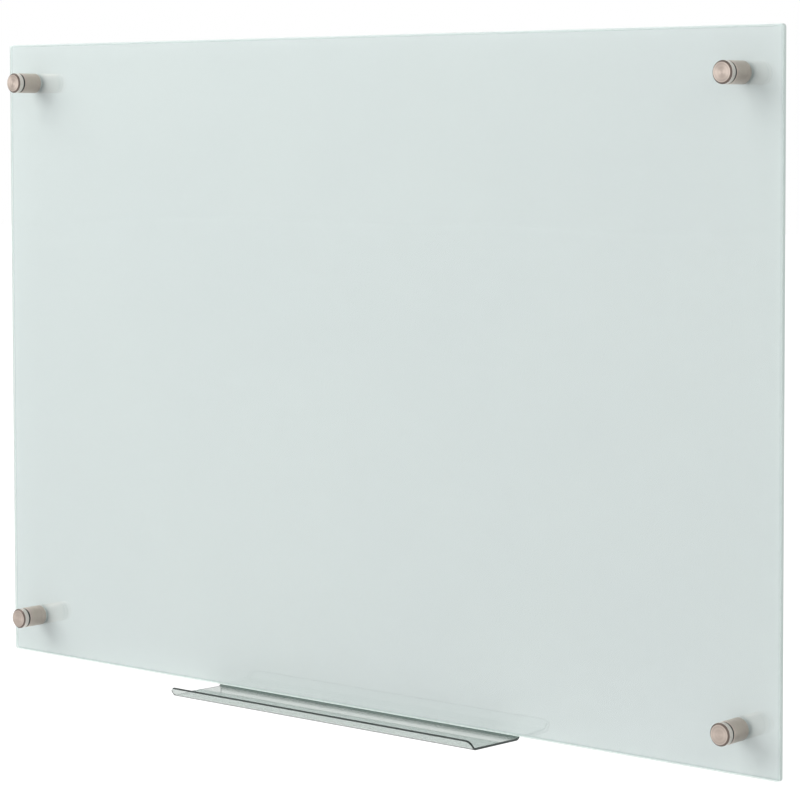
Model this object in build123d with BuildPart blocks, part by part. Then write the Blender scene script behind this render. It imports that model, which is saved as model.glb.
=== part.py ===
"""Magnetic glass board, 900 x 600 mm, on four standoffs, with a bent pen tray under it.

Millimetres, +Z up. The wall is the plane Y = 0 and the room is on its -Y side. The origin is the
middle of the four wall fixings, on the wall. A level is a distance from the wall into the room.
"""
from build123d import *

import os

os.makedirs("parts", exist_ok=True)

# Board
board_width = 900.0
board_height = 600.0
glass_thickness = 4.0
glass_corner_radius = 3.0
glass_bevel_width = 2.4
glass_bevel_depth = 0.5
glass_arris = 0.5
glass_hole_diameter = 12.0
fixing_inset = 38.0
enamel_thickness = 0.3
enamel_inset = 0.8
adhesive_thickness = 0.3
adhesive_inset = 2.0
steel_thickness = 0.6
steel_inset = 10.0
steel_corner_radius = 4.0
steel_notch_clearance = 7.0

# Standoffs
standoff_diameter = 19.0
barrel_length = 21.0
barrel_base = 5.0
barrel_chamfer = 0.8
barrel_mouth_chamfer = 0.3
ring_thickness = 2.0
ring_recess = 0.3
cap_thickness = 6.0
cap_chamfer = 1.4
cap_rear_chamfer = 0.3
stud_diameter = 10.0
stud_length = 10.0
stud_chamfer = 0.8
stud_clearance = 0.06
ring_clearance = 0.2
spacer_length = 9.0
spacer_chamfer = 0.5
washer_thickness = 1.0
rear_washer_diameter = 18.0
front_washer_diameter = 16.6
bush_clearance = 0.1

# Wall screws and their plugs
screw_diameter = 4.5
screw_length = 60.0
screw_tip = 5.0
screw_head_diameter = 9.0
screw_head_rim = 0.3
screw_recess_width = 1.1
screw_recess_span = 4.6
screw_recess_depth = 1.9
screw_passage = 0.5
seat_clearance = 0.05
plug_diameter = 8.0
plug_length = 40.0
plug_collar = 9.0
plug_crest_drop = 0.1
plug_barb_height = 0.5
plug_slot = 1.2
plug_wall_clearance = 0.05

# Pen tray, its screws and their plugs
tray_length = 355.0
tray_sheet = 2.0
tray_floor_drop = 4.6
tray_floor_rise = 1.6
tray_reach = 49.0
tray_lip = 10.0
tray_lip_angle = 53.0
tray_lip_corner = 5.0
tray_flange_height = 44.0
tray_flange_corner = 8.0
tray_bend = 3.0
tray_screw_inset = 52.5
tray_screw_height = 24.0
tray_screw_diameter = 4.0
tray_screw_length = 32.0
tray_screw_tip = 4.0
tray_screw_head_diameter = 7.6
tray_screw_head_height = 2.6
tray_screw_head_dome = 1.2
tray_screw_recess_width = 0.9
tray_screw_recess_span = 4.2
tray_screw_recess_depth = 1.5
tray_screw_passage = 0.25
tray_washer_diameter = 9.0
tray_washer_thickness = 0.8
tray_plug_diameter = 6.0
tray_plug_length = 30.0
tray_plug_collar = 7.0
tray_plug_barb_height = 0.4
tray_plug_slot = 0.9

# Shares and counts
plug_split_share = 0.7
barb_count = 6

# How far a cut runs past the surface that it opens
cut_overrun = 1.0

# Levels, from the wall into the room
rear_washer_level = spacer_length
enamel_level = rear_washer_level + washer_thickness
adhesive_level = enamel_level - adhesive_thickness
steel_level = adhesive_level - steel_thickness
glass_level = enamel_level + enamel_thickness
glass_front = glass_level + glass_thickness
barrel_level = glass_front + washer_thickness
barrel_floor = barrel_level + barrel_base
ring_level = barrel_level + barrel_length
cap_level = ring_level + ring_thickness
cap_front = cap_level + cap_thickness

# Radii and places that follow from the sizes
standoff_radius = standoff_diameter / 2
stud_radius = stud_diameter / 2
bore_radius = stud_radius + stud_clearance
screw_radius = screw_diameter / 2
passage_radius = screw_radius + screw_passage
head_radius = screw_head_diameter / 2
fixing_x = board_width / 2 - fixing_inset
fixing_z = board_height / 2 - fixing_inset
corners = {"tl": (-1, 1), "tr": (1, 1), "bl": (-1, -1), "br": (1, -1)}
sides = {"left": -1, "right": 1}
tray_under = -board_height / 2 - tray_floor_drop - tray_sheet
tray_screw_x = tray_length / 2 - tray_screw_inset
tray_screw_z = tray_under + tray_sheet + tray_screw_height
tray_washer_level = tray_sheet
tray_head_level = tray_washer_level + tray_washer_thickness
tray_screw_radius = tray_screw_diameter / 2
tray_passage_radius = tray_screw_radius + tray_screw_passage


def across(x, z, level):
    """Plane across a fixing's axis, facing the room."""
    return Plane(origin=(x, -level, z), x_dir=(1, 0, 0), z_dir=(0, -1, 0))


def along(x, z):
    """Plane through a fixing's axis: its x is the radius, its y the level."""
    return Plane(origin=(x, 0, z), x_dir=(1, 0, 0), z_dir=(0, 0, -1))


def fixing_axis(x, z):
    """Axis of a fixing, from the wall into the room."""
    return Axis((x, 0, z), (0, -1, 0))


def plug_outline(radius, length, collar, barb_height, bore):
    """Half profile of a wall plug: a plain collar at the wall, then barbs that taper inwards."""
    crest = radius - plug_crest_drop
    pitch = (length - collar) / barb_count
    points = [(bore, 0), (radius, 0), (radius, -collar)]
    for barb in range(barb_count):
        start = -collar - barb * pitch
        points.append((crest, start))
        points.append((crest - barb_height, start - pitch))
    points.append((bore, -length))
    return points


# Glass panel: rounded corners, a ground bevel round its face, an arris behind and four holes
with BuildPart() as glass_panel:
    with BuildSketch(Plane.XZ.offset(glass_level)):
        RectangleRounded(board_width, board_height, glass_corner_radius)
    extrude(amount=glass_thickness)
    back_face = glass_panel.faces().sort_by(Axis.Y)[-1]
    chamfer(back_face.edges(), length=glass_arris)
    front_face = glass_panel.faces().sort_by(Axis.Y)[0]
    chamfer(
        front_face.edges(),
        length=glass_bevel_width,
        length2=glass_bevel_depth,
        reference=front_face,
    )
    with Locations(Plane.XZ.offset(glass_front)):
        with GridLocations(2 * fixing_x, 2 * fixing_z, 2, 2):
            Hole(radius=glass_hole_diameter / 2)
glass_panel.part.label = "glass_panel"
export_step(glass_panel.part, "parts/glass_panel.step")

# White enamel on the back of the glass
with BuildPart() as white_enamel:
    with BuildSketch(Plane.XZ.offset(enamel_level)):
        RectangleRounded(
            board_width - 2 * enamel_inset,
            board_height - 2 * enamel_inset,
            glass_corner_radius,
        )
        with GridLocations(2 * fixing_x, 2 * fixing_z, 2, 2):
            Circle(glass_hole_diameter / 2, mode=Mode.SUBTRACT)
    extrude(amount=enamel_thickness)
white_enamel.part.label = "white_enamel"
export_step(white_enamel.part, "parts/white_enamel.step")

# Steel sheet that the magnets hold to, notched at the corners round the fixings, and its adhesive
backing_width = board_width - 2 * steel_inset
backing_height = board_height - 2 * steel_inset
notch = fixing_inset + standoff_radius + steel_notch_clearance - steel_inset

with BuildPart() as steel_sheet:
    with BuildSketch(Plane.XZ.offset(steel_level)) as sheet_outline:
        Rectangle(backing_width, backing_height)
        with GridLocations(backing_width - notch, backing_height - notch, 2, 2):
            Rectangle(notch, notch, mode=Mode.SUBTRACT)
        fillet(sheet_outline.vertices(), radius=steel_corner_radius)
    extrude(amount=steel_thickness)
steel_sheet.part.label = "steel_sheet"
export_step(steel_sheet.part, "parts/steel_sheet.step")

with BuildPart() as adhesive_film:
    with BuildSketch(Plane.XZ.offset(adhesive_level)):
        Rectangle(backing_width - 2 * adhesive_inset, backing_height - 2 * adhesive_inset)
        with GridLocations(backing_width - notch, backing_height - notch, 2, 2):
            Rectangle(notch + 2 * adhesive_inset, notch + 2 * adhesive_inset, mode=Mode.SUBTRACT)
    extrude(amount=adhesive_thickness)
adhesive_film.part.label = "adhesive_film"
export_step(adhesive_film.part, "parts/adhesive_film.step")

# One fixing at each corner, from the wall outwards
for corner, (side, end) in corners.items():
    x = side * fixing_x
    z = end * fixing_z

    # Plug in the wall, split crosswise so that the screw spreads it
    with BuildPart() as wall_plug:
        with BuildSketch(along(x, z)):
            with BuildLine():
                Polyline(
                    *plug_outline(
                        plug_diameter / 2,
                        plug_length,
                        plug_collar,
                        plug_barb_height,
                        screw_radius + plug_wall_clearance,
                    ),
                    close=True,
                )
            make_face()
        revolve(axis=fixing_axis(x, z))
        with BuildSketch(across(x, z, -plug_length)):
            Rectangle(plug_slot, plug_diameter + cut_overrun)
            Rectangle(plug_diameter + cut_overrun, plug_slot)
        extrude(amount=plug_length * plug_split_share, mode=Mode.SUBTRACT)
    wall_plug.part.label = f"wall_plug_{corner}"
    export_step(wall_plug.part, f"parts/wall_plug_{corner}.step")

    # Turned spacer that holds the glass off the wall
    with BuildPart() as wall_spacer:
        with BuildSketch(across(x, z, 0)):
            Circle(standoff_radius)
            Circle(passage_radius, mode=Mode.SUBTRACT)
        extrude(amount=spacer_length)
        spacer_ends = wall_spacer.edges().filter_by(GeomType.CIRCLE).group_by(SortBy.RADIUS)[-1]
        chamfer(spacer_ends, length=spacer_chamfer)
    wall_spacer.part.label = f"wall_spacer_{corner}"
    export_step(wall_spacer.part, f"parts/wall_spacer_{corner}.step")

    # Soft washers each side of the glass, and the bush that keeps the screw off the hole
    with BuildPart() as rear_washer:
        with BuildSketch(across(x, z, rear_washer_level)):
            Circle(rear_washer_diameter / 2)
            Circle(passage_radius, mode=Mode.SUBTRACT)
        extrude(amount=washer_thickness)
    rear_washer.part.label = f"rear_washer_{corner}"
    export_step(rear_washer.part, f"parts/rear_washer_{corner}.step")

    with BuildPart() as glass_bush:
        with BuildSketch(across(x, z, enamel_level)):
            Circle(glass_hole_diameter / 2 - bush_clearance)
            Circle(passage_radius, mode=Mode.SUBTRACT)
        extrude(amount=enamel_thickness + glass_thickness)
    glass_bush.part.label = f"glass_bush_{corner}"
    export_step(glass_bush.part, f"parts/glass_bush_{corner}.step")

    with BuildPart() as front_washer:
        with BuildSketch(across(x, z, glass_front)):
            Circle(front_washer_diameter / 2)
            Circle(passage_radius, mode=Mode.SUBTRACT)
        extrude(amount=washer_thickness)
    front_washer.part.label = f"front_washer_{corner}"
    export_step(front_washer.part, f"parts/front_washer_{corner}.step")

    # Barrel: turned outside, bored for the cap's stud, countersunk in its base for the screw
    sink_radius = head_radius + seat_clearance
    with BuildPart() as standoff_barrel:
        with BuildSketch(along(x, z)):
            with BuildLine():
                Polyline(
                    (passage_radius, barrel_level),
                    (standoff_radius - barrel_chamfer, barrel_level),
                    (standoff_radius, barrel_level + barrel_chamfer),
                    (standoff_radius, ring_level - barrel_mouth_chamfer),
                    (standoff_radius - barrel_mouth_chamfer, ring_level),
                    (bore_radius, ring_level),
                    (bore_radius, barrel_floor),
                    (sink_radius, barrel_floor),
                    (sink_radius, barrel_floor - screw_head_rim),
                    (passage_radius, barrel_floor - screw_head_rim - sink_radius + passage_radius),
                    close=True,
                )
            make_face()
        revolve(axis=fixing_axis(x, z))
    standoff_barrel.part.label = f"standoff_barrel_{corner}"
    export_step(standoff_barrel.part, f"parts/standoff_barrel_{corner}.step")

    # Countersunk wall screw with a cross recess, its head flush with the barrel's floor
    screw_point = barrel_floor - screw_length
    with BuildPart() as wall_screw:
        with BuildSketch(along(x, z)):
            with BuildLine():
                Polyline(
                    (0, barrel_floor),
                    (head_radius, barrel_floor),
                    (head_radius, barrel_floor - screw_head_rim),
                    (screw_radius, barrel_floor - screw_head_rim - head_radius + screw_radius),
                    (screw_radius, screw_point + screw_tip),
                    (0, screw_point),
                    close=True,
                )
            make_face()
        revolve(axis=fixing_axis(x, z))
        with BuildSketch(across(x, z, barrel_floor)):
            Rectangle(screw_recess_width, screw_recess_span)
            Rectangle(screw_recess_span, screw_recess_width)
        extrude(amount=-screw_recess_depth, mode=Mode.SUBTRACT)
    wall_screw.part.label = f"wall_screw_{corner}"
    export_step(wall_screw.part, f"parts/wall_screw_{corner}.step")

    # Black ring between barrel and cap
    with BuildPart() as cap_ring:
        with BuildSketch(across(x, z, ring_level)):
            Circle(standoff_radius - ring_recess)
            Circle(stud_radius + ring_clearance, mode=Mode.SUBTRACT)
        extrude(amount=ring_thickness)
    cap_ring.part.label = f"cap_ring_{corner}"
    export_step(cap_ring.part, f"parts/cap_ring_{corner}.step")

    # Cap that unscrews by hand: a chamfered disc with a stud into the barrel
    with BuildPart() as standoff_cap:
        with BuildSketch(along(x, z)):
            with BuildLine():
                Polyline(
                    (0, cap_front),
                    (standoff_radius - cap_chamfer, cap_front),
                    (standoff_radius, cap_front - cap_chamfer),
                    (standoff_radius, cap_level + cap_rear_chamfer),
                    (standoff_radius - cap_rear_chamfer, cap_level),
                    (stud_radius, cap_level),
                    (stud_radius, cap_level - stud_length + stud_chamfer),
                    (stud_radius - stud_chamfer, cap_level - stud_length),
                    (0, cap_level - stud_length),
                    close=True,
                )
            make_face()
        revolve(axis=fixing_axis(x, z))
    standoff_cap.part.label = f"standoff_cap_{corner}"
    export_step(standoff_cap.part, f"parts/standoff_cap_{corner}.step")

# Pen tray: one clear sheet bent into a wall flange, a floor and a leaning lip
front_bend = (-glass_front - tray_reach, tray_under + tray_floor_rise)
with BuildPart() as pen_tray:
    with BuildSketch(Plane.YZ):
        with BuildLine():
            lip_line = PolarLine(front_bend, tray_lip, 180 - tray_lip_angle, mode=Mode.PRIVATE)
            FilletPolyline(
                (0, tray_under + tray_flange_height),
                (0, tray_under),
                front_bend,
                lip_line @ 1,
                radius=tray_bend + tray_sheet,
            )
            offset(amount=tray_sheet, side=Side.RIGHT)
        make_face()
    extrude(amount=tray_length / 2, both=True)
    lip_edge = pen_tray.faces().sort_by(Axis.Y)[0]
    fillet(lip_edge.edges().sort_by(SortBy.LENGTH)[:2], radius=tray_lip_corner)
    flange_edge = pen_tray.faces().sort_by(Axis.Z)[-1]
    fillet(flange_edge.edges().sort_by(SortBy.LENGTH)[:2], radius=tray_flange_corner)
    with Locations(Plane.XZ.offset(tray_sheet)):
        with Locations((-tray_screw_x, tray_screw_z), (tray_screw_x, tray_screw_z)):
            Hole(radius=tray_passage_radius)
pen_tray.part.label = "pen_tray"
export_step(pen_tray.part, "parts/pen_tray.step")

# The tray's two fixings: plug, nylon washer and pan head screw
for side_name, side in sides.items():
    x = side * tray_screw_x
    z = tray_screw_z

    with BuildPart() as tray_plug:
        with BuildSketch(along(x, z)):
            with BuildLine():
                Polyline(
                    *plug_outline(
                        tray_plug_diameter / 2,
                        tray_plug_length,
                        tray_plug_collar,
                        tray_plug_barb_height,
                        tray_screw_radius + plug_wall_clearance,
                    ),
                    close=True,
                )
            make_face()
        revolve(axis=fixing_axis(x, z))
        with BuildSketch(across(x, z, -tray_plug_length)):
            Rectangle(tray_plug_slot, tray_plug_diameter + cut_overrun)
            Rectangle(tray_plug_diameter + cut_overrun, tray_plug_slot)
        extrude(amount=tray_plug_length * plug_split_share, mode=Mode.SUBTRACT)
    tray_plug.part.label = f"tray_plug_{side_name}"
    export_step(tray_plug.part, f"parts/tray_plug_{side_name}.step")

    with BuildPart() as tray_washer:
        with BuildSketch(across(x, z, tray_washer_level)):
            Circle(tray_washer_diameter / 2)
            Circle(tray_passage_radius, mode=Mode.SUBTRACT)
        extrude(amount=tray_washer_thickness)
    tray_washer.part.label = f"tray_washer_{side_name}"
    export_step(tray_washer.part, f"parts/tray_washer_{side_name}.step")

    # Pan head screw: a disc under a low dome, with a cross recess
    head_top = tray_head_level + tray_screw_head_height
    head_shoulder = head_top - tray_screw_head_dome
    tray_head_radius = tray_screw_head_diameter / 2
    tray_screw_point = tray_head_level - tray_screw_length
    with BuildPart() as tray_screw:
        with BuildSketch(along(x, z)):
            with BuildLine():
                dome = TangentArc(
                    (0, head_top),
                    (tray_head_radius, head_shoulder),
                    tangent=(1, 0),
                )
                Polyline(
                    dome @ 1,
                    (tray_head_radius, tray_head_level),
                    (tray_screw_radius, tray_head_level),
                    (tray_screw_radius, tray_screw_point + tray_screw_tip),
                    (0, tray_screw_point),
                    dome @ 0,
                )
            make_face()
        revolve(axis=fixing_axis(x, z))
        with BuildSketch(across(x, z, head_top)):
            Rectangle(tray_screw_recess_width, tray_screw_recess_span)
            Rectangle(tray_screw_recess_span, tray_screw_recess_width)
        extrude(amount=-tray_screw_recess_depth, mode=Mode.SUBTRACT)
    tray_screw.part.label = f"tray_screw_{side_name}"
    export_step(tray_screw.part, f"parts/tray_screw_{side_name}.step")
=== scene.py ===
"""Looks of a magnetic glass board on four standoffs, with a clear bent pen tray below it.

Metres, +Z up. The wall is the plane Y = 0 and the room is on its -Y side. A level is a distance from
the wall into the room, so a point at level 0.014 has y = -0.014.
"""
import logging
import math
from dataclasses import dataclass, field
from enum import Enum

import bmesh
import bpy
from mathutils import Matrix, Vector


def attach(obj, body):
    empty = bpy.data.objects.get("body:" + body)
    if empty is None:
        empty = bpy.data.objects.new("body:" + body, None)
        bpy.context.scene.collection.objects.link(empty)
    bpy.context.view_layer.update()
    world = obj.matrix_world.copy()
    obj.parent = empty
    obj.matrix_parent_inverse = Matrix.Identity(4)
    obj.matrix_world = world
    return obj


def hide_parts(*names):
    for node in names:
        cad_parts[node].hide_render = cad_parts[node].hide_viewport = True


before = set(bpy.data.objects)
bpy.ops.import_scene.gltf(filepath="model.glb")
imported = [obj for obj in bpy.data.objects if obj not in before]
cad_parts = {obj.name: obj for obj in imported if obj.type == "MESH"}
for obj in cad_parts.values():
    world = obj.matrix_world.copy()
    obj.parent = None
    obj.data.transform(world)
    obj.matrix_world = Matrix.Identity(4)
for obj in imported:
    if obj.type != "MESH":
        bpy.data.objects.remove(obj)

log = logging.getLogger("glass_board")

Colour = tuple[float, float, float]
Place = tuple[float, float, float]
Span = tuple[float, float]
Profile = list[tuple[float, float]]
Shape = bmesh.types.BMesh
Socket = bpy.types.NodeSocket
Tree = bpy.types.NodeTree
Node = bpy.types.Node
Piece = bpy.types.Object
Material = bpy.types.Material

WHITE = (1.0, 1.0, 1.0, 1.0)
BLACK = (0.0, 0.0, 0.0, 1.0)
SMOOTH_ANGLE = math.radians(40.0)


class Corner(Enum):
    """The four fixings: side (-1 left, 1 right) and end (-1 bottom, 1 top)."""

    TL = (-1, 1)
    TR = (1, 1)
    BL = (-1, -1)
    BR = (1, -1)

    @property
    def tag(self) -> str:
        """The ending of this corner's piece names."""
        return self.name.lower()


class NodeSheet:
    """A node tree that is filled one node at a time.

    Args:
        tree: The tree of a material, world or group.
    """

    def __init__(self, tree: Tree) -> None:
        """Starts on an empty tree."""
        self.tree = tree
        self.tree.nodes.clear()

    def add(self, kind: str, inputs: dict | None = None, **settings: object) -> Node:
        """Adds a node.

        Args:
            kind: The node's type name without its ShaderNode prefix.
            inputs: Values, output sockets or nodes, by input name or number.
            settings: The node's own properties, set first, because a group's inputs depend on them.

        Returns:
            The new node.
        """
        node = self.tree.nodes.new(f"ShaderNode{kind}")
        for name, value in settings.items():
            setattr(node, name, value)
        self.feed(node, inputs or {})
        return node

    def feed(self, node: Node, inputs: dict) -> None:
        """Gives a node's inputs their values, or links them to outputs.

        Args:
            node: The node.
            inputs: Values, output sockets or nodes, which stand for their first output.
        """
        for key, value in inputs.items():
            if isinstance(value, Node):
                value = value.outputs[0]
            if isinstance(value, Socket):
                self.tree.links.new(value, node.inputs[key])
            else:
                node.inputs[key].default_value = value

    def math(self, operation: str, first: object, second: object) -> Socket:
        """Adds a Math node and gives its result."""
        return self.add("Math", {0: first, 1: second}, operation=operation).outputs[0]

    def vector(self, operation: str, first: object, second: object = (0, 0, 0)) -> Socket:
        """Adds a Vector Math node and gives its vector."""
        return self.add("VectorMath", {0: first, 1: second}, operation=operation).outputs["Vector"]

    def mix(self, factor: object, first: object, second: object) -> Socket:
        """Adds a Mix node, whose sockets 6, 7 and 2 are its colours, and gives the mixed colour."""
        return self.add("Mix", {0: factor, 6: first, 7: second}, data_type="RGBA").outputs[2]

    def ramp(self, value: object, start: Span, end: Span) -> Socket:
        """Adds a smooth Map Range from one span to another and gives its result."""
        inputs = {0: value, 1: start[0], 2: start[1], 3: end[0], 4: end[1]}
        return self.add("MapRange", inputs, interpolation_type="SMOOTHSTEP").outputs["Result"]

    def noise(self, place: object, scale: object, detail: float) -> Socket:
        """Adds a Noise texture and gives its value."""
        return self.add("TexNoise", {"Vector": place, "Scale": scale, "Detail": detail}).outputs["Fac"]

    def bump(self, height: object, distance: float, strength: float) -> Socket:
        """Adds a Bump node and gives its normal."""
        return self.add("Bump", {"Height": height, "Distance": distance, "Strength": strength}).outputs[0]


def opaque(colour: Colour) -> tuple[float, float, float, float]:
    """Gives a colour with full alpha."""
    return (*colour, 1.0)


def start_group(name: str, inputs: dict[str, str], outputs: dict[str, str]) -> tuple:
    """Starts a group.

    Args:
        name: The group's name.
        inputs: Socket types by input name.
        outputs: Socket types by output name.

    Returns:
        The sheet, the group's input node and its output node.
    """
    tree = bpy.data.node_groups.new(name, "ShaderNodeTree")
    for way, sockets in (("INPUT", inputs), ("OUTPUT", outputs)):
        for label, kind in sockets.items():
            tree.interface.new_socket(label, in_out=way, socket_type=f"NodeSocket{kind}")
    sheet = NodeSheet(tree)
    return sheet, tree.nodes.new("NodeGroupInput"), tree.nodes.new("NodeGroupOutput")


def tone_drift() -> Tree:
    """Builds a slow change between two colours, with a fine grain on top.

    Returns:
        The group.
    """
    sheet, entry, leave = start_group(
        "tone_drift",
        {"Vector": "Vector", "Scale": "Float", "Grain": "Float", "First": "Color", "Second": "Color"},
        {"Color": "Color", "Mask": "Float", "Grain": "Float"},
    )
    slow = sheet.noise(entry.outputs["Vector"], entry.outputs["Scale"], 3.0)
    fine = sheet.noise(entry.outputs["Vector"], entry.outputs["Grain"], 2.0)
    mask = sheet.ramp(slow, (0.3, 0.7), (0.0, 1.0))
    grain = sheet.math("MULTIPLY", sheet.math("SUBTRACT", fine, 0.5), 0.25)
    both = sheet.add("Math", {0: mask, 1: grain}, operation="ADD", use_clamp=True).outputs[0]
    colour = sheet.mix(both, entry.outputs["First"], entry.outputs["Second"])
    sheet.feed(leave, {"Color": colour, "Mask": both, "Grain": fine})
    return sheet.tree


def turned_marks() -> Tree:
    """Builds lathe marks that follow one distance, such as a radius or a length along an axis.

    Returns:
        The group.
    """
    sheet, entry, leave = start_group(
        "turned_marks",
        {"Distance": "Float", "Marks": "Float", "Bands": "Float"},
        {"Height": "Float", "Mask": "Float"},
    )
    made = []
    for label in ("Marks", "Bands"):
        place = sheet.math("MULTIPLY", entry.outputs["Distance"], entry.outputs[label])
        lines = sheet.add("TexNoise", {"W": place, "Scale": 1.0, "Detail": 1.0}, noise_dimensions="1D")
        made.append(lines.outputs["Fac"])
    mask = sheet.ramp(sheet.math("MULTIPLY", *made), (0.1, 0.45), (0.0, 1.0))
    sheet.feed(leave, {"Height": made[0], "Mask": mask})
    return sheet.tree


DRIFT = tone_drift()
TURNED = turned_marks()


def start_material(name: str) -> tuple[Material, NodeSheet]:
    """Makes an empty node material.

    Args:
        name: Its name.

    Returns:
        The material and its sheet.
    """
    material = bpy.data.materials.new(name)
    material.use_nodes = True
    return material, NodeSheet(material.node_tree)


def close_material(sheet: NodeSheet, inputs: dict, volume: Node | None = None) -> None:
    """Makes a material's shader and joins it to the output.

    Args:
        sheet: The material's sheet.
        inputs: Values, output sockets or nodes, by the shader's input names.
        volume: What fills the piece, if anything does.
    """
    out = sheet.add("OutputMaterial", {"Surface": sheet.add("BsdfPrincipled", inputs)})
    if volume is not None:
        sheet.feed(out, {"Volume": volume})


def drifting(sheet: NodeSheet, finish: object) -> Node:
    """Adds the tone drift of a finish.

    Args:
        sheet: The material's sheet.
        finish: The finish, with two colours, a scale and a grain.

    Returns:
        The group's node.
    """
    inputs = {
        "Vector": sheet.add("TexCoord").outputs["Object"],
        "Scale": finish.scale,
        "Grain": finish.grain,
        "First": opaque(finish.first),
        "Second": opaque(finish.second),
    }
    return sheet.add("Group", inputs, node_tree=DRIFT)


FIXING_X = 0.412
FIXING_Z = 0.262


def centred_on_fixing(sheet: NodeSheet) -> Socket:
    """Object coordinates measured from the axis of whichever fixing is nearest.

    Args:
        sheet: The material's sheet.

    Returns:
        The vector from the nearest fixing's axis, with y left as it is.
    """
    place = sheet.add("TexCoord").outputs["Object"]
    size = sheet.vector("ABSOLUTE", place)
    off = sheet.vector("SUBTRACT", size, (FIXING_X, 0.0, FIXING_Z))
    return sheet.vector("MULTIPLY", off, sheet.vector("SIGN", place))


@dataclass(frozen=True)
class FloatGlass:
    """Clear float glass that takes up a little red light, so its edge is pale green."""

    name: str = "float_glass"
    roughness: float = 0.012
    smudge: float = 0.02
    ior: float = 1.68
    absorption: Colour = (0.05, 0.92, 0.72)
    density: float = 7.0
    wipe_stretch: Place = (1.4, 1.0, 4.0)
    wipe_turn: float = 0.5
    smudge_scale: float = 3.0
    wave: float = 0.002
    wave_scale: float = 2.2
    wave_strength: float = 0.12
    half_size: Span = (0.45, 0.3)
    bevel: float = 0.0024
    # painted shade for the bevelled band along the edge
    painted_bevel_shade: Colour = (0.87, 0.893, 0.888)

    def on_bevel(self, sheet: NodeSheet, place: Socket) -> Socket:
        """A mask that is 1 along the bevelled edge.

        Args:
            sheet: The material's sheet.
            place: Object coordinates.

        Returns:
            The mask.
        """
        away = sheet.add("SeparateXYZ", {0: sheet.vector("ABSOLUTE", place)})
        across, along = (half - self.bevel for half in self.half_size)
        side = sheet.math("GREATER_THAN", away.outputs["X"], across)
        return sheet.math("MAXIMUM", side, sheet.math("GREATER_THAN", away.outputs["Z"], along))

    def build(self) -> Material:
        """Makes the material.

        Returns:
            The material.
        """
        material, sheet = start_material(self.name)
        place = sheet.add("TexCoord").outputs["Object"]
        wiping = {"Vector": place, "Scale": self.wipe_stretch, "Rotation": (0.0, self.wipe_turn, 0.0)}
        wiped = sheet.add("Mapping", wiping).outputs[0]
        smudges = sheet.noise(wiped, self.smudge_scale, 4.0)
        rough_span = (self.roughness, self.roughness + self.smudge)
        wavy = sheet.noise(place, self.wave_scale, 1.0)
        inputs = {
            # painted shade: the bevelled band along the edge is tinted darker than the rest of the glass
            "Base Color": sheet.mix(self.on_bevel(sheet, place), WHITE, opaque(self.painted_bevel_shade)),
            "Roughness": sheet.ramp(smudges, (0.4, 0.75), rough_span),
            "IOR": self.ior,
            "Transmission Weight": 1.0,
            "Normal": sheet.bump(wavy, self.wave, self.wave_strength),
        }
        volume = sheet.add("VolumeAbsorption", {"Color": opaque(self.absorption), "Density": self.density})
        close_material(sheet, inputs, volume)
        return material


@dataclass(frozen=True)
class GroundRim:
    """Ground rim of the glass: pale green from outside, with painted light on its inner side, within the
    panel.

    That inner side has a bright colour and a painted glow, an emission that stands in for the room's light
    let in through the ground edge.
    """

    name: str = "ground_rim"
    first: Colour = (0.6, 0.7, 0.67)
    second: Colour = (0.66, 0.75, 0.72)
    painted_inner_light: Colour = (0.94, 0.97, 0.96)
    roughness: float = 0.35
    painted_inner_glow: float = 0.38
    scale: float = 12.0
    grain: float = 3000.0
    relief: float = 0.00004
    relief_strength: float = 0.4

    def build(self) -> Material:
        """Makes the material.

        Returns:
            The material.
        """
        material, sheet = start_material(self.name)
        drift = drifting(sheet, self)
        back = sheet.add("NewGeometry").outputs["Backfacing"]
        # painted light: the inner side, seen through the glass, gets a bright colour and a glow, though it
        # is no lamp
        colour = sheet.mix(back, drift.outputs["Color"], opaque(self.painted_inner_light))
        glow = sheet.mix(back, BLACK, opaque(self.painted_inner_light))
        inputs = {
            "Base Color": colour,
            "Roughness": self.roughness,
            "Emission Color": glow,
            "Emission Strength": self.painted_inner_glow,
            "Normal": sheet.bump(drift.outputs["Grain"], self.relief, self.relief_strength),
        }
        close_material(sheet, inputs)
        return material


@dataclass(frozen=True)
class TurnedSteel:
    """Satin stainless steel off a lathe, brighter in some rings than in others."""

    name: str
    bright: Colour
    dull: Colour
    roughness: float = 0.3
    rougher: float = 0.06
    smoother: float = 0.04
    anisotropy: float = 0.75
    marks: float = 9000.0
    bands: float = 1400.0
    relief: float = 0.00001
    relief_strength: float = 0.5

    def build(self) -> Material:
        """Makes the material.

        Returns:
            The material.
        """
        material, sheet = start_material(self.name)
        centred = centred_on_fixing(sheet)
        parts = sheet.add("SeparateXYZ", {0: centred})
        flat = sheet.add("CombineXYZ", {"X": parts.outputs["X"], "Z": parts.outputs["Z"]})
        radius = sheet.add("VectorMath", {0: flat}, operation="LENGTH").outputs["Value"]
        distance = sheet.math("SUBTRACT", radius, parts.outputs["Y"])
        inputs = {"Distance": distance, "Marks": self.marks, "Bands": self.bands}
        turned = sheet.add("Group", inputs, node_tree=TURNED)
        back = sheet.math("MULTIPLY", parts.outputs["Z"], -1.0)
        round_way = sheet.add("CombineXYZ", {"X": back, "Z": parts.outputs["X"]})
        tangent = sheet.vector("NORMALIZE", round_way)
        colour = sheet.mix(turned.outputs["Mask"], opaque(self.dull), opaque(self.bright))
        rough_span = (self.roughness + self.rougher, self.roughness - self.smoother)
        inputs = {
            "Base Color": colour,
            "Metallic": 1.0,
            "Roughness": sheet.ramp(turned.outputs["Mask"], (0.0, 1.0), rough_span),
            "Anisotropic": self.anisotropy,
            "Tangent": tangent,
            "Normal": sheet.bump(turned.outputs["Height"], self.relief, self.relief_strength),
        }
        close_material(sheet, inputs)
        return material


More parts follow.
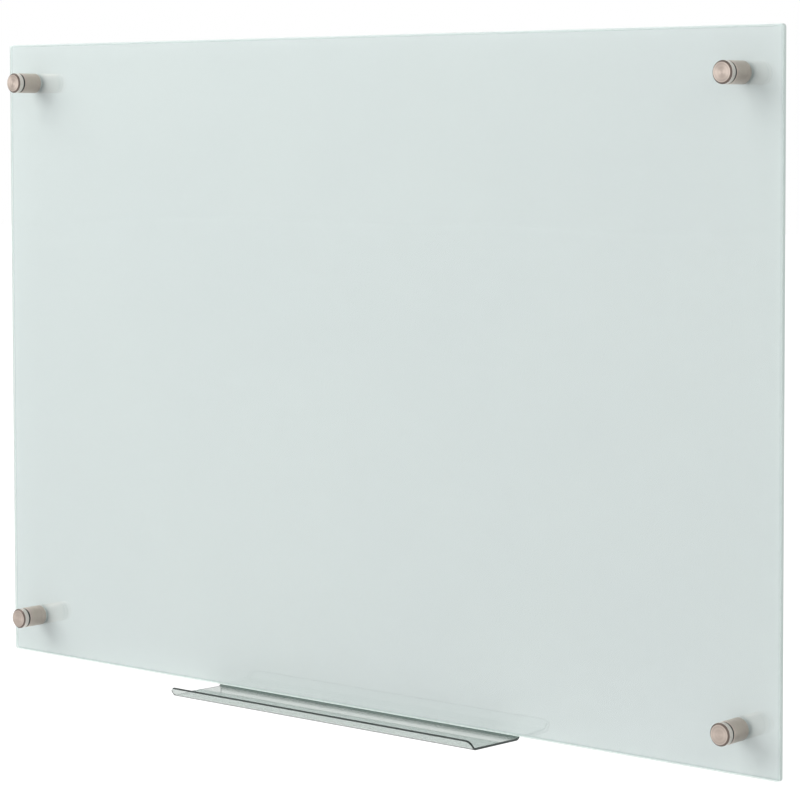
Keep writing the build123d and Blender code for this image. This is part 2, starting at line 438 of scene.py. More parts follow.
@dataclass(frozen=True)
class Moulded:
    """Plastic, rubber, enamel or film: two near colours that drift, and a fine grain."""

    name: str
    first: Colour
    second: Colour
    roughness: float = 0.5
    scale: float = 30.0
    grain: float = 900.0
    relief: float = 0.00002
    relief_strength: float = 0.4
    rough_spread: float = 0.04

    def build(self) -> Material:
        """Makes the material.

        Returns:
            The material.
        """
        material, sheet = start_material(self.name)
        drift = drifting(sheet, self)
        rough_span = (self.roughness - self.rough_spread, self.roughness + self.rough_spread)
        inputs = {
            "Base Color": drift.outputs["Color"],
            "Roughness": sheet.ramp(drift.outputs["Mask"], (0.0, 1.0), rough_span),
            "Normal": sheet.bump(drift.outputs["Grain"], self.relief, self.relief_strength),
        }
        close_material(sheet, inputs)
        return material


@dataclass(frozen=True)
class PlatedMetal:
    """Zinc in small flat crystals: bright plate on screws, broad spangle on sheet."""

    name: str
    bright: Colour
    dull: Colour
    crystal: float
    roughness: float = 0.35
    rougher: float = 0.12
    smoother: float = 0.05

    def build(self) -> Material:
        """Makes the material.

        Returns:
            The material.
        """
        material, sheet = start_material(self.name)
        place = sheet.add("TexCoord").outputs["Object"]
        cells = sheet.add("TexVoronoi", {"Vector": place, "Scale": self.crystal}, feature="F1")
        tone = sheet.add("SeparateColor", {0: cells.outputs["Color"]}).outputs[0]
        colour = sheet.mix(tone, opaque(self.dull), opaque(self.bright))
        rough = sheet.ramp(tone, (0.0, 1.0), (self.roughness + self.rougher, self.roughness - self.smoother))
        close_material(sheet, {"Base Color": colour, "Metallic": 1.0, "Roughness": rough})
        return material


@dataclass(frozen=True)
class ClearSheet:
    """Clear acrylic sheet with a grey-green look, with painted shade at its bends and where it is seen at a
    grazing angle.

    The two bends run along x, each round a line through a point in y and z. The grey-green colour is only
    what the camera sees, partly the sheet's own tint and partly painted shade: the light that goes through
    to the board stays clear.
    """

    name: str = "clear_acrylic"
    tint: Colour = (0.375, 0.427, 0.4)
    painted_grazing_shade: Colour = (0.2, 0.25, 0.225)
    painted_bend_shade: Colour = (0.1, 0.14, 0.125)
    clear: Colour = (0.97, 0.99, 0.98)
    roughness: float = 0.02
    rub: float = 0.02
    rub_scale: float = 60.0
    ior: float = 1.49
    rear_bend: Span = (0.0, -0.3066)
    front_bend: Span = (-0.0633, -0.3050)
    rear_reach: Span = (0.0035, 0.0075)
    front_reach: Span = (0.0008, 0.0028)
    front_share: float = 0.35

    @staticmethod
    def near_bend(
        sheet: NodeSheet, place: Socket, line: Span, reach: Span
    ) -> Socket:
        """A mask that is 1 at a bend.

        Args:
            sheet: The material's sheet.
            place: Object coordinates.
            line: y and z of the bend's line.
            reach: Distance at which the mask begins to fall, and at which it ends.

        Returns:
            The mask.
        """
        off = sheet.vector("SUBTRACT", place, (0.0, line[0], line[1]))
        flat = sheet.vector("MULTIPLY", off, (0.0, 1.0, 1.0))
        length = sheet.add("VectorMath", {0: flat}, operation="LENGTH").outputs["Value"]
        return sheet.ramp(length, reach, (1.0, 0.0))

    def build(self) -> Material:
        """Makes the material.

        Returns:
            The material.
        """
        material, sheet = start_material(self.name)
        place = sheet.add("TexCoord").outputs["Object"]
        rubs = sheet.noise(place, self.rub_scale, 4.0)
        rough = sheet.ramp(rubs, (0.4, 0.75), (self.roughness, self.roughness + self.rub))
        rear = self.near_bend(sheet, place, self.rear_bend, self.rear_reach)
        front = self.near_bend(sheet, place, self.front_bend, self.front_reach)
        bends = sheet.math("MAXIMUM", rear, sheet.math("MULTIPLY", front, self.front_share))
        # painted shade: the sheet is coloured darker where it is seen at a grazing angle
        facing = sheet.add("LayerWeight", {"Blend": 0.5}).outputs["Facing"]
        grazing = sheet.ramp(facing, (0.45, 0.75), (0.0, 1.0))
        seen = sheet.mix(grazing, opaque(self.tint), opaque(self.painted_grazing_shade))
        # the camera alone sees the grey-green, partly the sheet's own tint and partly painted shade; other
        # rays pass clear
        looked_at = sheet.add("LightPath").outputs["Is Camera Ray"]
        sheet_colour = sheet.mix(looked_at, opaque(self.clear), seen)
        # painted shade: the sheet is coloured darker near its two bends
        colour = sheet.mix(bends, sheet_colour, opaque(self.painted_bend_shade))
        inputs = {"Base Color": colour, "Roughness": rough, "IOR": self.ior, "Transmission Weight": 1.0}
        close_material(sheet, inputs)
        return material


# Shapes


def lathe(
    profile: Profile, centre: Span, steps: int = 96, edge: float = 0.0, rounds: int = 2, closed: bool = False
) -> Shape:
    """Turns a profile round an axis that stands square to the wall.

    Args:
        profile: Radius and level of each point.
        centre: x and z of the axis.
        steps: Steps of a full turn.
        edge: Width of the bevel on the sharp edges, or 0 for none.
        rounds: Segments of that bevel.
        closed: Whether the last point joins the first, as on a part with a bore.

    Returns:
        The turned shape.
    """
    shape = bmesh.new()
    x, z = centre
    points = [shape.verts.new((x + radius, -level, z)) for radius, level in profile]
    for first, second in zip(points, points[1:]):
        shape.edges.new((first, second))
    if closed:
        shape.edges.new((points[-1], points[0]))
    bmesh.ops.spin(
        shape,
        geom=shape.verts[:] + shape.edges[:],
        cent=(x, 0.0, z),
        axis=(0.0, -1.0, 0.0),
        angle=2 * math.pi,
        steps=steps,
        use_merge=True,
    )
    bmesh.ops.remove_doubles(shape, verts=shape.verts, dist=1e-7)
    bmesh.ops.recalc_face_normals(shape, faces=shape.faces)
    if edge:
        soften(shape, edge, rounds)
    return shape


def flat_ring(inner: float, outer: float, low: float, high: float) -> Profile:
    """Gives the profile of a flat ring by its two radii and two levels."""
    return [(inner, low), (outer, low), (outer, high), (inner, high)]


def soften(shape: Shape, edge: float, rounds: int, limit: float = 25.0) -> None:
    """Bevels the edges that are sharper than a limit.

    Args:
        shape: The shape.
        edge: Width of the bevel.
        rounds: Its segments.
        limit: Angle in degrees above which an edge is sharp.
    """
    least = math.radians(limit)
    sharp = [line for line in shape.edges if line.is_manifold and line.calc_face_angle(0.0) > least]
    bmesh.ops.bevel(
        shape,
        geom=sharp,
        offset=edge,
        offset_type="OFFSET",
        affect="EDGES",
        segments=rounds,
        profile=0.5,
        material=-1,
        clamp_overlap=True,
    )


@dataclass
class Thread:
    """A right-handed ridge round an axis that stands square to the wall.

    A bolt's ridge points outwards, and a nut's inwards, with its crest nearer the axis than its root.
    """

    centre: Span
    start: float
    turns: float
    pitch: float
    root: float
    crest: float
    half_base: float
    steps: int = 40
    fade: float = 0.4
    least: float = 0.05

    def wind(self, shape: Shape) -> None:
        """Adds the ridge to a shape.

        Args:
            shape: The shape that carries it.
        """
        x, z = self.centre
        carrier = set(shape.verts)
        section = [(self.root, -self.half_base), (self.crest, 0.0), (self.root, self.half_base)]
        points = [shape.verts.new((x + r, -(self.start + rise), z)) for r, rise in section]
        rim = [shape.edges.new((points[i], points[(i + 1) % 3])) for i in range(3)]
        shape.faces.new(points)
        whole = round(self.turns * self.steps)
        made = bmesh.ops.spin(
            shape,
            geom=points + rim,
            cent=(x, 0.0, z),
            axis=(0.0, -1.0, 0.0),
            dvec=(0.0, -self.pitch / self.steps, 0.0),
            angle=2 * math.pi * whole / self.steps,
            steps=whole,
        )
        last = [vert for vert in made["geom_last"] if isinstance(vert, bmesh.types.BMVert)]
        shape.faces.new(last)
        middle = (self.root + self.crest) / 2
        for vert in set(shape.verts) - carrier:
            out = Vector((vert.co.x - x, 0.0, vert.co.z - z))
            if (out.length > middle) != (self.crest > self.root):
                continue
            turned = (-vert.co.y - self.start) / self.pitch
            share = min(1.0, turned / self.fade, (self.turns - turned) / self.fade)
            radius = self.root + (self.crest - self.root) * max(self.least, share)
            out.normalize()
            vert.co.x = x + out.x * radius
            vert.co.z = z + out.z * radius
        bmesh.ops.recalc_face_normals(shape, faces=shape.faces)


def copy_of(node: str) -> Shape:
    """Copies a CAD node's mesh, merged and without the normals that it came with.

    Args:
        node: The CAD node.

    Returns:
        The copy.
    """
    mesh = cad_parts[node].data.copy()
    for name in ("custom_normal", "sharp_edge", "sharp_face"):
        if name in mesh.attributes:
            mesh.attributes.remove(mesh.attributes[name])
    shape = bmesh.new()
    shape.from_mesh(mesh)
    bpy.data.meshes.remove(mesh)
    bmesh.ops.remove_doubles(shape, verts=shape.verts, dist=1e-6)
    shape.normal_update()
    return shape


def carve(shape: Shape, tool: Shape) -> Shape:
    """Cuts one shape out of another.

    Args:
        shape: The shape that loses the material.
        tool: The cutter.

    Returns:
        The cut shape. Both of the given ones are used up.
    """
    solids = []
    for label, part in (("carved", shape), ("cutter", tool)):
        mesh = bpy.data.meshes.new(label)
        part.to_mesh(mesh)
        part.free()
        solid = bpy.data.objects.new(label, mesh)
        bpy.context.scene.collection.objects.link(solid)
        solids.append(solid)
    cut = solids[0].modifiers.new("cut", "BOOLEAN")
    cut.operation = "DIFFERENCE"
    cut.solver = "EXACT"
    cut.object = solids[1]
    graph = bpy.context.evaluated_depsgraph_get()
    mesh = bpy.data.meshes.new_from_object(solids[0].evaluated_get(graph))
    left = bmesh.new()
    left.from_mesh(mesh)
    bpy.data.meshes.remove(mesh)
    for solid in solids:
        used = solid.data
        bpy.data.objects.remove(solid)
        bpy.data.meshes.remove(used)
    bmesh.ops.remove_doubles(left, verts=left.verts, dist=1e-7)
    return left


def cross_recess(
    shape: Shape, centre: Span, level: float, arm: Span, depth: float, narrowing: float = 0.45
) -> Shape:
    """Cuts a cross recess into a screw head.

    Args:
        shape: The screw.
        centre: x and z of its axis.
        level: The level of its top.
        arm: Width and span of an arm of the cross at the top.
        depth: Depth at the middle.
        narrowing: The size of the recess's floor, as a share of its mouth.

    Returns:
        The cut screw.
    """
    width, span = arm
    for sides in ((width, span), (span, width)):
        tool = bmesh.new()
        bmesh.ops.create_cube(tool, size=1.0)
        bmesh.ops.scale(tool, vec=(sides[0], 2 * depth, sides[1]), verts=tool.verts)
        inner = [vert for vert in tool.verts if vert.co.y > 0]
        bmesh.ops.scale(tool, vec=(narrowing, 1.0, narrowing), verts=inner)
        bmesh.ops.translate(tool, vec=(centre[0], -level, centre[1]), verts=tool.verts)
        shape = carve(shape, tool)
    return shape


def weigh_normals(mesh: bpy.types.Mesh) -> None:
    """Weighs corner normals by face area, so that a flat face stays flat beside its bevels.

    Args:
        mesh: The mesh, with its sharp edges marked.
    """
    shape = bmesh.new()
    shape.from_mesh(mesh)
    weighted = [face.normal * face.calc_area() for face in shape.faces]
    starts = [polygon.loop_start for polygon in mesh.polygons]
    normals = [Vector((0.0, 0.0, 1.0))] * len(mesh.loops)
    for vert in shape.verts:
        left = set(vert.link_faces)
        while left:
            fan = [left.pop()]
            for face in fan:
                for edge in face.edges:
                    if edge.smooth and vert in edge.verts:
                        beside = [other for other in edge.link_faces if other in left]
                        left.difference_update(beside)
                        fan.extend(beside)
            normal = sum((weighted[face.index] for face in fan), Vector()).normalized()
            for face in fan:
                place = list(face.verts).index(vert)
                normals[starts[face.index] + place] = normal
    shape.free()
    mesh.normals_split_custom_set(normals)


def finished(
    name: str,
    shape: Shape,
    body: str,
    materials: list[Material],
    nodes: tuple[str, ...],
) -> Piece:
    """Makes a shape a piece of the object.

    Args:
        name: The piece's name.
        shape: Its shape, which is used up.
        body: The CAD body that it rides on.
        materials: Its materials, in the order of its faces' numbers.
        nodes: The CAD nodes that it stands for.

    Returns:
        The piece.
    """
    mesh = bpy.data.meshes.new(name)
    shape.to_mesh(mesh)
    shape.free()
    mesh.polygons.foreach_set("use_smooth", [True] * len(mesh.polygons))
    mesh.set_sharp_from_angle(angle=SMOOTH_ANGLE)
    weigh_normals(mesh)
    for material in materials:
        mesh.materials.append(material)
    piece = bpy.data.objects.new(name, mesh)
    bpy.context.scene.collection.objects.link(piece)
    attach(piece, body)
    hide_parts(*nodes)
    log.info("%s: %d faces on %s", name, len(mesh.polygons), body)
    return piece


def dress(node: str, material: Material) -> None:
    """Gives a carried-over CAD node its material.

    Args:
        node: The CAD node.
        material: Its finish.
    """
    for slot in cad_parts[node].material_slots:
        slot.material = material
    log.info("%s dressed", node)


# Finishes in use


class Finishes:
    """Every finish of the board, made once."""

    def __init__(self) -> None:
        """Builds the materials."""
        self.glass = FloatGlass().build()
        pale, paler = (0.8, 0.83, 0.842), (0.81, 0.84, 0.847)
        self.enamel = Moulded("white_enamel", pale, paler, 0.4, 4.0, relief=0.0).build()
        self.film = Moulded("bonding_film", (0.8, 0.8, 0.76), (0.74, 0.74, 0.7)).build()
        bright, dull = (0.66, 0.68, 0.69), (0.5, 0.52, 0.53)
        self.sheet = PlatedMetal("galvanised_sheet", bright, dull, 70.0, 0.42).build()
        self.acrylic = ClearSheet().build()
        dark, darker = (0.035, 0.052, 0.048), (0.022, 0.034, 0.031)
        # painted shade: the clear sheet's cut edges are painted nearly black
        self.acrylic_edge_shade = Moulded("cut_acrylic_edge", dark, darker, 0.3, 90.0, 2500.0).build()
        self.rim = GroundRim().build()
        self.cap = TurnedSteel("turned_steel", (0.535, 0.458, 0.407), (0.396, 0.335, 0.293), 0.38).build()
        # the cap's side and chamfer are copies of the same steel, with a painted highlight and painted shade
        self.cap_side_highlight = TurnedSteel("painted_highlight_steel", (0.84, 0.77, 0.73), (0.7, 0.64, 0.6)).build()
        self.cap_rim = TurnedSteel("painted_shade_steel", (0.22, 0.18, 0.16), (0.15, 0.12, 0.105)).build()
        self.barrel = TurnedSteel("satin_steel", (0.68, 0.58, 0.518), (0.52, 0.443, 0.395)).build()
        self.black = Moulded("black_rubber", (0.012, 0.012, 0.012), (0.02, 0.02, 0.02), 0.6, 200.0).build()
        self.clear = Moulded("clear_rubber", (0.82, 0.84, 0.83), (0.86, 0.88, 0.87), 0.4, 200.0).build()
        self.white = Moulded("white_nylon", (0.88, 0.87, 0.83), (0.82, 0.81, 0.77), 0.45, 120.0).build()
        self.grey = Moulded("grey_nylon", (0.45, 0.46, 0.48), (0.4, 0.41, 0.43), 0.5, 120.0).build()
        self.zinc = PlatedMetal("zinc_plate", (0.72, 0.73, 0.74), (0.58, 0.59, 0.6), 900.0).build()


# Sub-assemblies


@dataclass
class GlassBoard:
    """Glass panel, enamel on its back, bonding film and the steel sheet that holds magnets."""

    finishes: Finishes
    enamel_level: float = 0.010
    enamel_thickness: float = 0.0003
    optical_gap: float = 0.00005
    polished_slope: float = 0.9

    def enamel(self) -> None:
        """Builds the enamel, a hair behind the glass, so that light passes from one to the other."""
        shape = copy_of("white_enamel")
        share = 1.0 - self.optical_gap / self.enamel_thickness
        for vert in shape.verts:
            vert.co.y = share * (vert.co.y + self.enamel_level) - self.enamel_level
        finished("enamel_coat", shape, "board", [self.finishes.enamel], ("white_enamel",))

    def glass(self) -> Piece:
        """Builds the panel: polished faces and bevel, and a ground rim and hole walls.

        Returns:
            The panel.
        """
        shape = copy_of("glass_panel")
        for face in shape.faces:
            face.material_index = int(abs(face.normal.y) < self.polished_slope)
        materials = [self.finishes.glass, self.finishes.rim]
        return finished("glass_sheet", shape, "board", materials, ("glass_panel",))

    def build(self) -> Piece:
        """Builds the board.

        Returns:
            Its glass.
        """
        dress("adhesive_film", self.finishes.film)
        dress("steel_sheet", self.finishes.sheet)
        self.enamel()
        return self.glass()


@dataclass
class Fixing:
    """One fixing, from the plug in the wall to the cap that unscrews by hand."""

    finishes: Finishes
    corner: Corner
    radius: float = 0.0095
    spacer_length: float = 0.009
    washer: float = 0.001
    glass_front: float = 0.0143
    barrel_level: float = 0.0153
    barrel_floor: float = 0.0203
    ring_level: float = 0.0363
    cap_level: float = 0.0383
    cap_front: float = 0.0443
    cap_chamfer: float = 0.0014
    face_rings: int = 9
    groove_depth: float = 0.00003
    groove_width: float = 0.0003
    hub_radius: float = 0.0005
    hub_depth: float = 0.00006
    face_margin: float = 0.0007
    rim_chamfer: float = 0.0003
    cap_edge: float = 0.00012
    metal_edge: float = 0.0001
    base_chamfer: float = 0.0008
    bore_chamfer: float = 0.0004
    stud_undercut: float = 0.0002
    stud_neck: Span = (0.0009, 0.0011)
    stud_tip: float = 0.0006
    stud_length: float = 0.010
    thread_pitch: float = 0.001
    thread_lead: float = 0.0005
    thread_bite: float = 0.00005
    thread_half_base: float = 0.00036
    stud_turns: float = 8.0
    bore_turns: float = 9.0
    stud_crest: float = 0.00497
    stud_root: float = 0.0044
    bore: float = 0.00506
    bore_crest: float = 0.0045
    passage: float = 0.00275
    ring_bore: float = 0.0052
    front_washer: float = 0.0083
    rear_washer: float = 0.009
    spacer_chamfer: float = 0.0005
    screw_head: float = 0.0045
    screw_head_rim: float = 0.0003
    screw_play: float = 0.00005
    screw_recess: Span = (0.0011, 0.0046)
    screw_recess_depth: float = 0.0019
    screw_crest: float = 0.00225
    screw_root: float = 0.0016
    screw_pitch: float = 0.002
    screw_turns: float = 21.0
    screw_half_base: float = 0.0005
    screw_point: float = 0.005
    screw_length: float = 0.060

    @property
    def centre(self) -> Span:
        """x and z of the fixing's axis."""
        side, end = self.corner.value
        return side * FIXING_X, end * FIXING_Z

    def cap(self) -> None:
        """Builds the cap: turned rings, a chamfer in painted shade, a side in painted highlight and a
        threaded stud.
        """
        face_radius = self.radius - self.cap_chamfer
        hub, front, level = self.hub_radius, self.cap_front, self.cap_level
        profile = [(0.0, front - self.hub_depth), (hub, front - self.hub_depth / 3)]
        for ring in range(1, self.face_rings):
            middle = hub + (face_radius - self.face_margin) * ring / self.face_rings
            profile.append((middle - self.groove_width, front))
            profile.append((middle, front - self.groove_depth))
        end = level - self.stud_length
        neck = self.stud_root - self.stud_undercut
        profile += [
            (face_radius, front),
            (self.radius, front - self.cap_chamfer),
            (self.radius, level + self.rim_chamfer),
            (self.radius - self.rim_chamfer, level),
            (neck, level),
            (neck, level - self.stud_neck[0]),
            (self.stud_root, level - self.stud_neck[1]),
            (self.stud_root, end + self.stud_tip),
            (self.stud_root - self.stud_tip, end),
            (0.0, end),
        ]
        shape = lathe(profile, self.centre, edge=self.cap_edge)
        for face in shape.faces:
            middle = face.calc_center_median()
            out = math.hypot(middle.x - self.centre[0], middle.z - self.centre[1])
            # the side takes the steel with a painted highlight, the chamfer the steel with painted shade
            if out > self.radius - 0.0001:
                face.material_index = 1
            elif out > face_radius and middle.y < -level - 0.001:
                face.material_index = 2
        root = self.stud_root - self.thread_bite
        self.wind(shape, end + self.thread_lead, self.stud_turns, root, self.stud_crest)
        tag = self.corner.tag
        materials = [self.finishes.cap, self.finishes.cap_side_highlight, self.finishes.cap_rim]
        node = f"standoff_cap_{tag}"
        finished(f"turned_cap_{tag}", shape, f"cap_{tag}", materials, (node,))

    def wind(self, shape: Shape, start: float, turns: float, root: float, crest: float) -> None:
        """Winds the fine thread of a stud or a bore."""
        Thread(self.centre, start, turns, self.thread_pitch, root, crest, self.thread_half_base).wind(shape)

    def ring(self) -> None:
        """Builds the soft black ring between barrel and cap."""
        outer = self.radius - self.rim_chamfer
        profile = flat_ring(self.ring_bore, outer, self.ring_level, self.cap_level)
        shape = lathe(profile, self.centre, steps=72, edge=0.0003, rounds=3, closed=True)
        tag = self.corner.tag
        node = f"cap_ring_{tag}"
        finished(f"soft_ring_{tag}", shape, f"ring_{tag}", [self.finishes.black], (node,))

    def barrel(self) -> None:
        """Builds the barrel, its bore threaded and its base countersunk for the wall screw."""
        foot, floor, mouth = self.barrel_level, self.barrel_floor, self.ring_level
        sink = self.screw_head + self.screw_play
        slope = sink - self.passage
        profile = [
            (self.passage, foot),
            (self.radius - self.base_chamfer, foot),
            (self.radius, foot + self.base_chamfer),
            (self.radius, mouth - self.rim_chamfer),
            (self.radius - self.rim_chamfer, mouth),
            (self.bore + self.bore_chamfer, mouth),
            (self.bore, mouth - self.bore_chamfer),
            (self.bore, floor),
            (sink, floor),
            (sink, floor - self.screw_head_rim),
            (self.passage, floor - self.screw_head_rim - slope),
        ]
        shape = lathe(profile, self.centre, edge=self.metal_edge, closed=True)
        start = self.cap_level - self.stud_length + self.thread_lead - 1.5 * self.thread_pitch
        self.wind(shape, start, self.bore_turns, self.bore + self.thread_bite, self.bore_crest)
        tag = self.corner.tag
        node = f"standoff_barrel_{tag}"
        finished(f"bored_barrel_{tag}", shape, "board", [self.finishes.barrel], (node,))

    def washers(self) -> None:
        """Builds the soft washer on each side of the glass."""
        front = ("front", self.front_washer, self.glass_front)
        rear = ("rear", self.rear_washer, self.spacer_length)
        for label, radius, level in (front, rear):
            profile = flat_ring(self.passage, radius, level, level + self.washer)
            shape = lathe(profile, self.centre, steps=72, edge=0.00025, rounds=3, closed=True)
            node = f"{label}_washer_{self.corner.tag}"
            finished(f"soft_{node}", shape, "board", [self.finishes.clear], (node,))

    def spacer(self) -> None:
        """Builds the turned spacer between wall and glass."""
        chamfer, top = self.spacer_chamfer, self.spacer_length
        profile = [
            (self.passage, 0.0),
            (self.radius - chamfer, 0.0),
            (self.radius, chamfer),
            (self.radius, top - chamfer),
            (self.radius - chamfer, top),
            (self.passage, top),
        ]
        shape = lathe(profile, self.centre, edge=self.metal_edge, closed=True)
        tag = self.corner.tag
        node = f"wall_spacer_{tag}"
        finished(f"turned_spacer_{tag}", shape, "board", [self.finishes.barrel], (node,))

    def screw(self) -> None:
        """Builds the countersunk wall screw, with a cross recess and a coarse thread."""
        top = self.barrel_floor
        point = top - self.screw_length
        neck = top - self.screw_head_rim - (self.screw_head - self.screw_root)
        profile = [
            (0.0, top),
            (self.screw_head, top),
            (self.screw_head, top - self.screw_head_rim),
            (self.screw_root, neck),
            (self.screw_root, point + self.screw_point),
            (0.0, point),
        ]
        shape = lathe(profile, self.centre, steps=48)
        shape = cross_recess(shape, self.centre, top, self.screw_recess, self.screw_recess_depth)
        thread = Thread(
            self.centre,
            start=point + 0.004,
            turns=self.screw_turns,
            pitch=self.screw_pitch,
            root=self.screw_root - 0.0001,
            crest=self.screw_crest,
            half_base=self.screw_half_base,
            steps=28,
            fade=1.0,
        )
        thread.wind(shape)
        tag = self.corner.tag
        node = f"wall_screw_{tag}"
        finished(f"threaded_screw_{tag}", shape, "board", [self.finishes.zinc], (node,))

    def build(self) -> None:
        """Builds the fixing."""
        self.cap()
        self.ring()
        self.barrel()
        self.washers()
        self.spacer()
        self.screw()
        dress(f"glass_bush_{self.corner.tag}", self.finishes.white)
        dress(f"wall_plug_{self.corner.tag}", self.finishes.grey)


@dataclass
class PenTray:
    """Clear bent tray and the two fixings of its flange."""

    finishes: Finishes
    screw_x: float = 0.125
    screw_z: float = -0.2806
    head_level: float = 0.0028
    head_radius: float = 0.0038
    head_height: float = 0.0026
    recess: Span = (0.0009, 0.0042)
    recess_depth: float = 0.0015
    crest: float = 0.002
    root: float = 0.0014
    thread_pitch: float = 0.0016
    thread_turns: float = 16.0
    thread_half_base: float = 0.00042
    length: float = 0.032
    lip_angle: float = 53.0
    lip_start: float = -0.062
    flange_depth: float = 0.0035
    flange_foot: float = -0.295
    edge: float = 0.00025
    sharp_edge: float = 40.0

    def tray(self) -> Piece:
        """Builds the bent sheet, its cut edges softened and painted nearly black, a painted shade for the
        dark look of clear edges.

        Returns:
            The sheet.
        """
        shape = copy_of("pen_tray")
        lean = math.radians(90.0 - self.lip_angle)
        lip_normal = Vector((0.0, math.cos(lean), math.sin(lean)))
        for face in shape.faces:
            middle = face.calc_center_median()
            # faces across the sheet, its cut edges, take the painted dark shade
            if abs(face.normal.x) > 0.7:
                face.material_index = 1
            elif middle.y < self.lip_start:
                face.material_index = int(abs(face.normal.dot(lip_normal)) < 0.5)
            elif middle.y > -self.flange_depth and middle.z > self.flange_foot:
                face.material_index = int(abs(face.normal.y) < 0.5)
        soften(shape, self.edge, 2, self.sharp_edge)
        materials = [self.finishes.acrylic, self.finishes.acrylic_edge_shade]
        return finished("bent_tray", shape, "board", materials, ("pen_tray",))

    def fixing(self, side_name: str, side: int) -> None:
        """Builds one of the flange's screws and dresses its washer and plug.

        Args:
            side_name: Left or right.
            side: -1 or 1.
        """
        centre = (side * self.screw_x, self.screw_z)
        top = self.head_level + self.head_height
        point = self.head_level - self.length
        profile = [
            (0.0, top),
            (0.0022, top - 0.0001),
            (0.0034, top - 0.0007),
            (self.head_radius, top - 0.0014),
            (self.head_radius, self.head_level),
            (self.root, self.head_level),
            (self.root, point + 0.004),
            (0.0, point),
        ]
        shape = lathe(profile, centre, steps=48)
        shape = cross_recess(shape, centre, top, self.recess, self.recess_depth)
        thread = Thread(
            centre,
            start=point + 0.003,
            turns=self.thread_turns,
            pitch=self.thread_pitch,
            root=self.root - 0.0001,
            crest=self.crest,
            half_base=self.thread_half_base,
            steps=28,
            fade=1.0,
        )
        thread.wind(shape)
        name = f"threaded_tray_screw_{side_name}"
        finished(name, shape, "board", [self.finishes.zinc], (f"tray_screw_{side_name}",))
        dress(f"tray_washer_{side_name}", self.finishes.white)
        dress(f"tray_plug_{side_name}", self.finishes.grey)

    def build(self) -> Piece:
        """Builds the tray and its fixings.

        Returns:
            The bent sheet.
        """
        self.fixing("left", -1)
        self.fixing("right", 1)
        return self.tray()


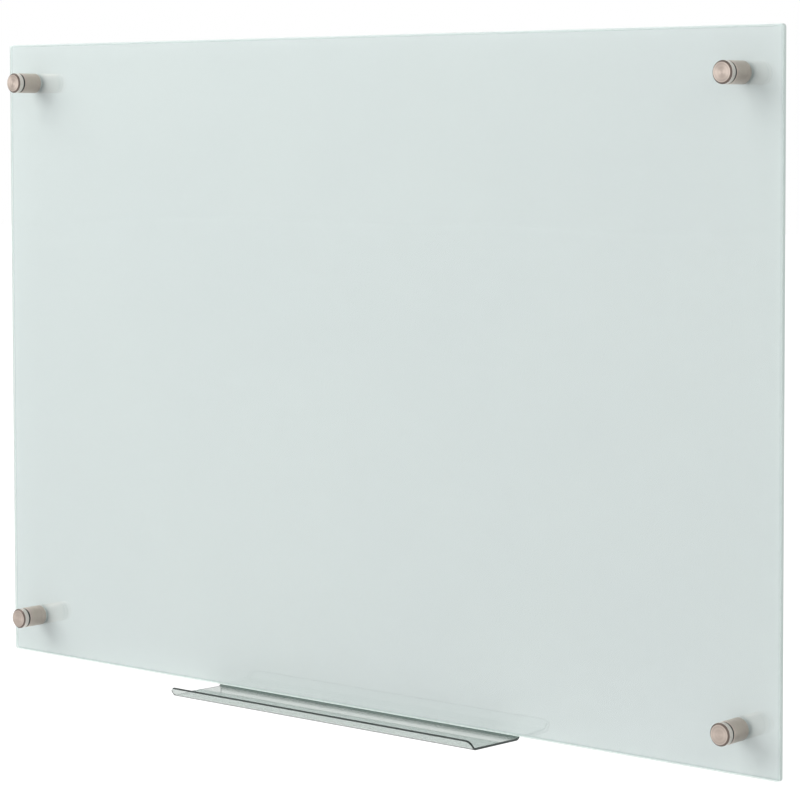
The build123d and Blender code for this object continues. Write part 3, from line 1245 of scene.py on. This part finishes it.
@dataclass
class Studio:
    """Camera, white surroundings, soft lamps and floor."""

    place: Place = (1.6612, -1.8982, 0.2248)
    yaw: float = 40.442
    pitch: float = -3.222
    roll: float = -0.147
    lens: float = 127.5
    sensor: float = 36.0
    shift_y: float = -0.15
    floor_height: float = -1.3
    floor_size: float = 60.0
    fill: float = 0.72
    key_place: Place = (-2.4, -2.4, 2.4)
    key_size: float = 3.8
    key_power: float = 86.0
    side_place: Place = (2.8, -1.4, 1.6)
    side_size: float = 1.6
    side_power: float = 4.0
    floor_colour: Colour = (0.82, 0.82, 0.82)
    camera_glow: float = 0.5
    mirror_glow: float = 0.42
    lamps: list[Piece] = field(default_factory=list)

    def camera(self) -> None:
        """Makes the camera and sets it as the scene's."""
        data = bpy.data.cameras.new("camera")
        data.lens = self.lens
        data.sensor_width = self.sensor
        data.sensor_fit = "HORIZONTAL"
        data.shift_y = self.shift_y
        data.clip_start = 0.05
        data.clip_end = 200.0
        camera = bpy.data.objects.new("camera", data)
        stance = Matrix.Translation(self.place)
        for angle, axis in ((self.yaw, "Z"), (90.0 + self.pitch, "X"), (self.roll, "Z")):
            stance = stance @ Matrix.Rotation(math.radians(angle), 4, axis)
        camera.matrix_world = stance
        bpy.context.scene.collection.objects.link(camera)
        bpy.context.scene.camera = camera

    def surroundings(self) -> None:
        """Makes a world that is white to the camera, gloss and glass, and gives a softer fill."""
        world = bpy.data.worlds.new("studio")
        world.use_nodes = True
        bpy.context.scene.world = world
        sheet = NodeSheet(world.node_tree)
        path = sheet.add("LightPath")
        seen = sheet.math("MAXIMUM", path.outputs["Is Camera Ray"], path.outputs["Is Glossy Ray"])
        seen = sheet.math("MAXIMUM", seen, path.outputs["Is Transmission Ray"])
        fill = sheet.add("Background", {"Color": WHITE, "Strength": self.fill})
        white = sheet.add("Background", {"Color": WHITE, "Strength": 1.0})
        both = sheet.add("MixShader", {0: seen, 1: fill, 2: white})
        sheet.add("OutputWorld", {"Surface": both})

    def lamp(self, name: str, place: Place, size: float, power: float) -> None:
        """Adds a square soft lamp that faces the middle of the board.

        Args:
            name: The lamp's name.
            place: Its centre.
            size: Its side.
            power: Its power in watts.
        """
        data = bpy.data.lights.new(name, "AREA")
        data.shape = "SQUARE"
        data.size = size
        data.energy = power
        lamp = bpy.data.objects.new(name, data)
        way = -Vector(place)
        lamp.matrix_world = Matrix.Translation(place) @ way.to_track_quat("-Z", "Y").to_matrix().to_4x4()
        lamp.visible_camera = False
        lamp.visible_transmission = False
        bpy.context.scene.collection.objects.link(lamp)
        self.lamps.append(lamp)

    def spare(self, piece: Piece, role: str) -> None:
        """Frees a clear piece from one part that it would play in the lamps' own light.

        Args:
            piece: The piece.
            role: "receiver", whose gloss would throw the light at the board, or "blocker", which
                would shade what lies behind it.
        """
        for lamp in self.lamps:
            spared = bpy.data.collections.new(f"{role}_spared_by_{lamp.name}")
            spared.objects.link(piece)
            spared.collection_objects[0].light_linking.link_state = "EXCLUDE"
            setattr(lamp.light_linking, f"{role}_collection", spared)

    def floor(self) -> None:
        """Makes a pale floor that keeps the object's shadow and is clear from below."""
        shape = bmesh.new()
        bmesh.ops.create_grid(shape, x_segments=1, y_segments=1, size=self.floor_size / 2)
        bmesh.ops.translate(shape, vec=(0.0, 0.0, self.floor_height), verts=shape.verts)
        mesh = bpy.data.meshes.new("floor")
        shape.to_mesh(mesh)
        shape.free()
        floor = bpy.data.objects.new("floor", mesh)
        bpy.context.scene.collection.objects.link(floor)
        material, sheet = start_material("pale_floor")
        path = sheet.add("LightPath")
        through = sheet.math("MAXIMUM", path.outputs["Is Glossy Ray"], path.outputs["Is Transmission Ray"])
        straight = sheet.math("MULTIPLY", path.outputs["Is Camera Ray"], self.camera_glow)
        level = sheet.math("ADD", straight, sheet.math("MULTIPLY", through, self.mirror_glow))
        diffuse = sheet.add("BsdfDiffuse", {"Color": opaque(self.floor_colour)})
        glow = sheet.add("Emission", {"Color": WHITE, "Strength": level})
        lit = sheet.add("AddShader", {0: diffuse, 1: glow})
        clear = sheet.add("BsdfTransparent")
        back = sheet.add("NewGeometry").outputs["Backfacing"]
        both = sheet.add("MixShader", {0: back, 1: lit, 2: clear})
        sheet.add("OutputMaterial", {"Surface": both})
        mesh.materials.append(material)

    def build(self) -> None:
        """Builds the whole studio."""
        self.camera()
        self.surroundings()
        self.lamp("key_lamp", self.key_place, self.key_size, self.key_power)
        self.lamp("side_lamp", self.side_place, self.side_size, self.side_power)
        self.floor()
        bpy.context.scene.view_settings.view_transform = "Standard"


def main() -> None:
    """Builds the studio and the board."""
    logging.basicConfig(level=logging.INFO, format="%(message)s")
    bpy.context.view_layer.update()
    studio = Studio()
    studio.build()
    finishes = Finishes()
    studio.spare(GlassBoard(finishes).build(), "blocker")
    for corner in Corner:
        Fixing(finishes, corner).build()
    studio.spare(PenTray(finishes).build(), "receiver")


if __name__ == "__main__":
    main()
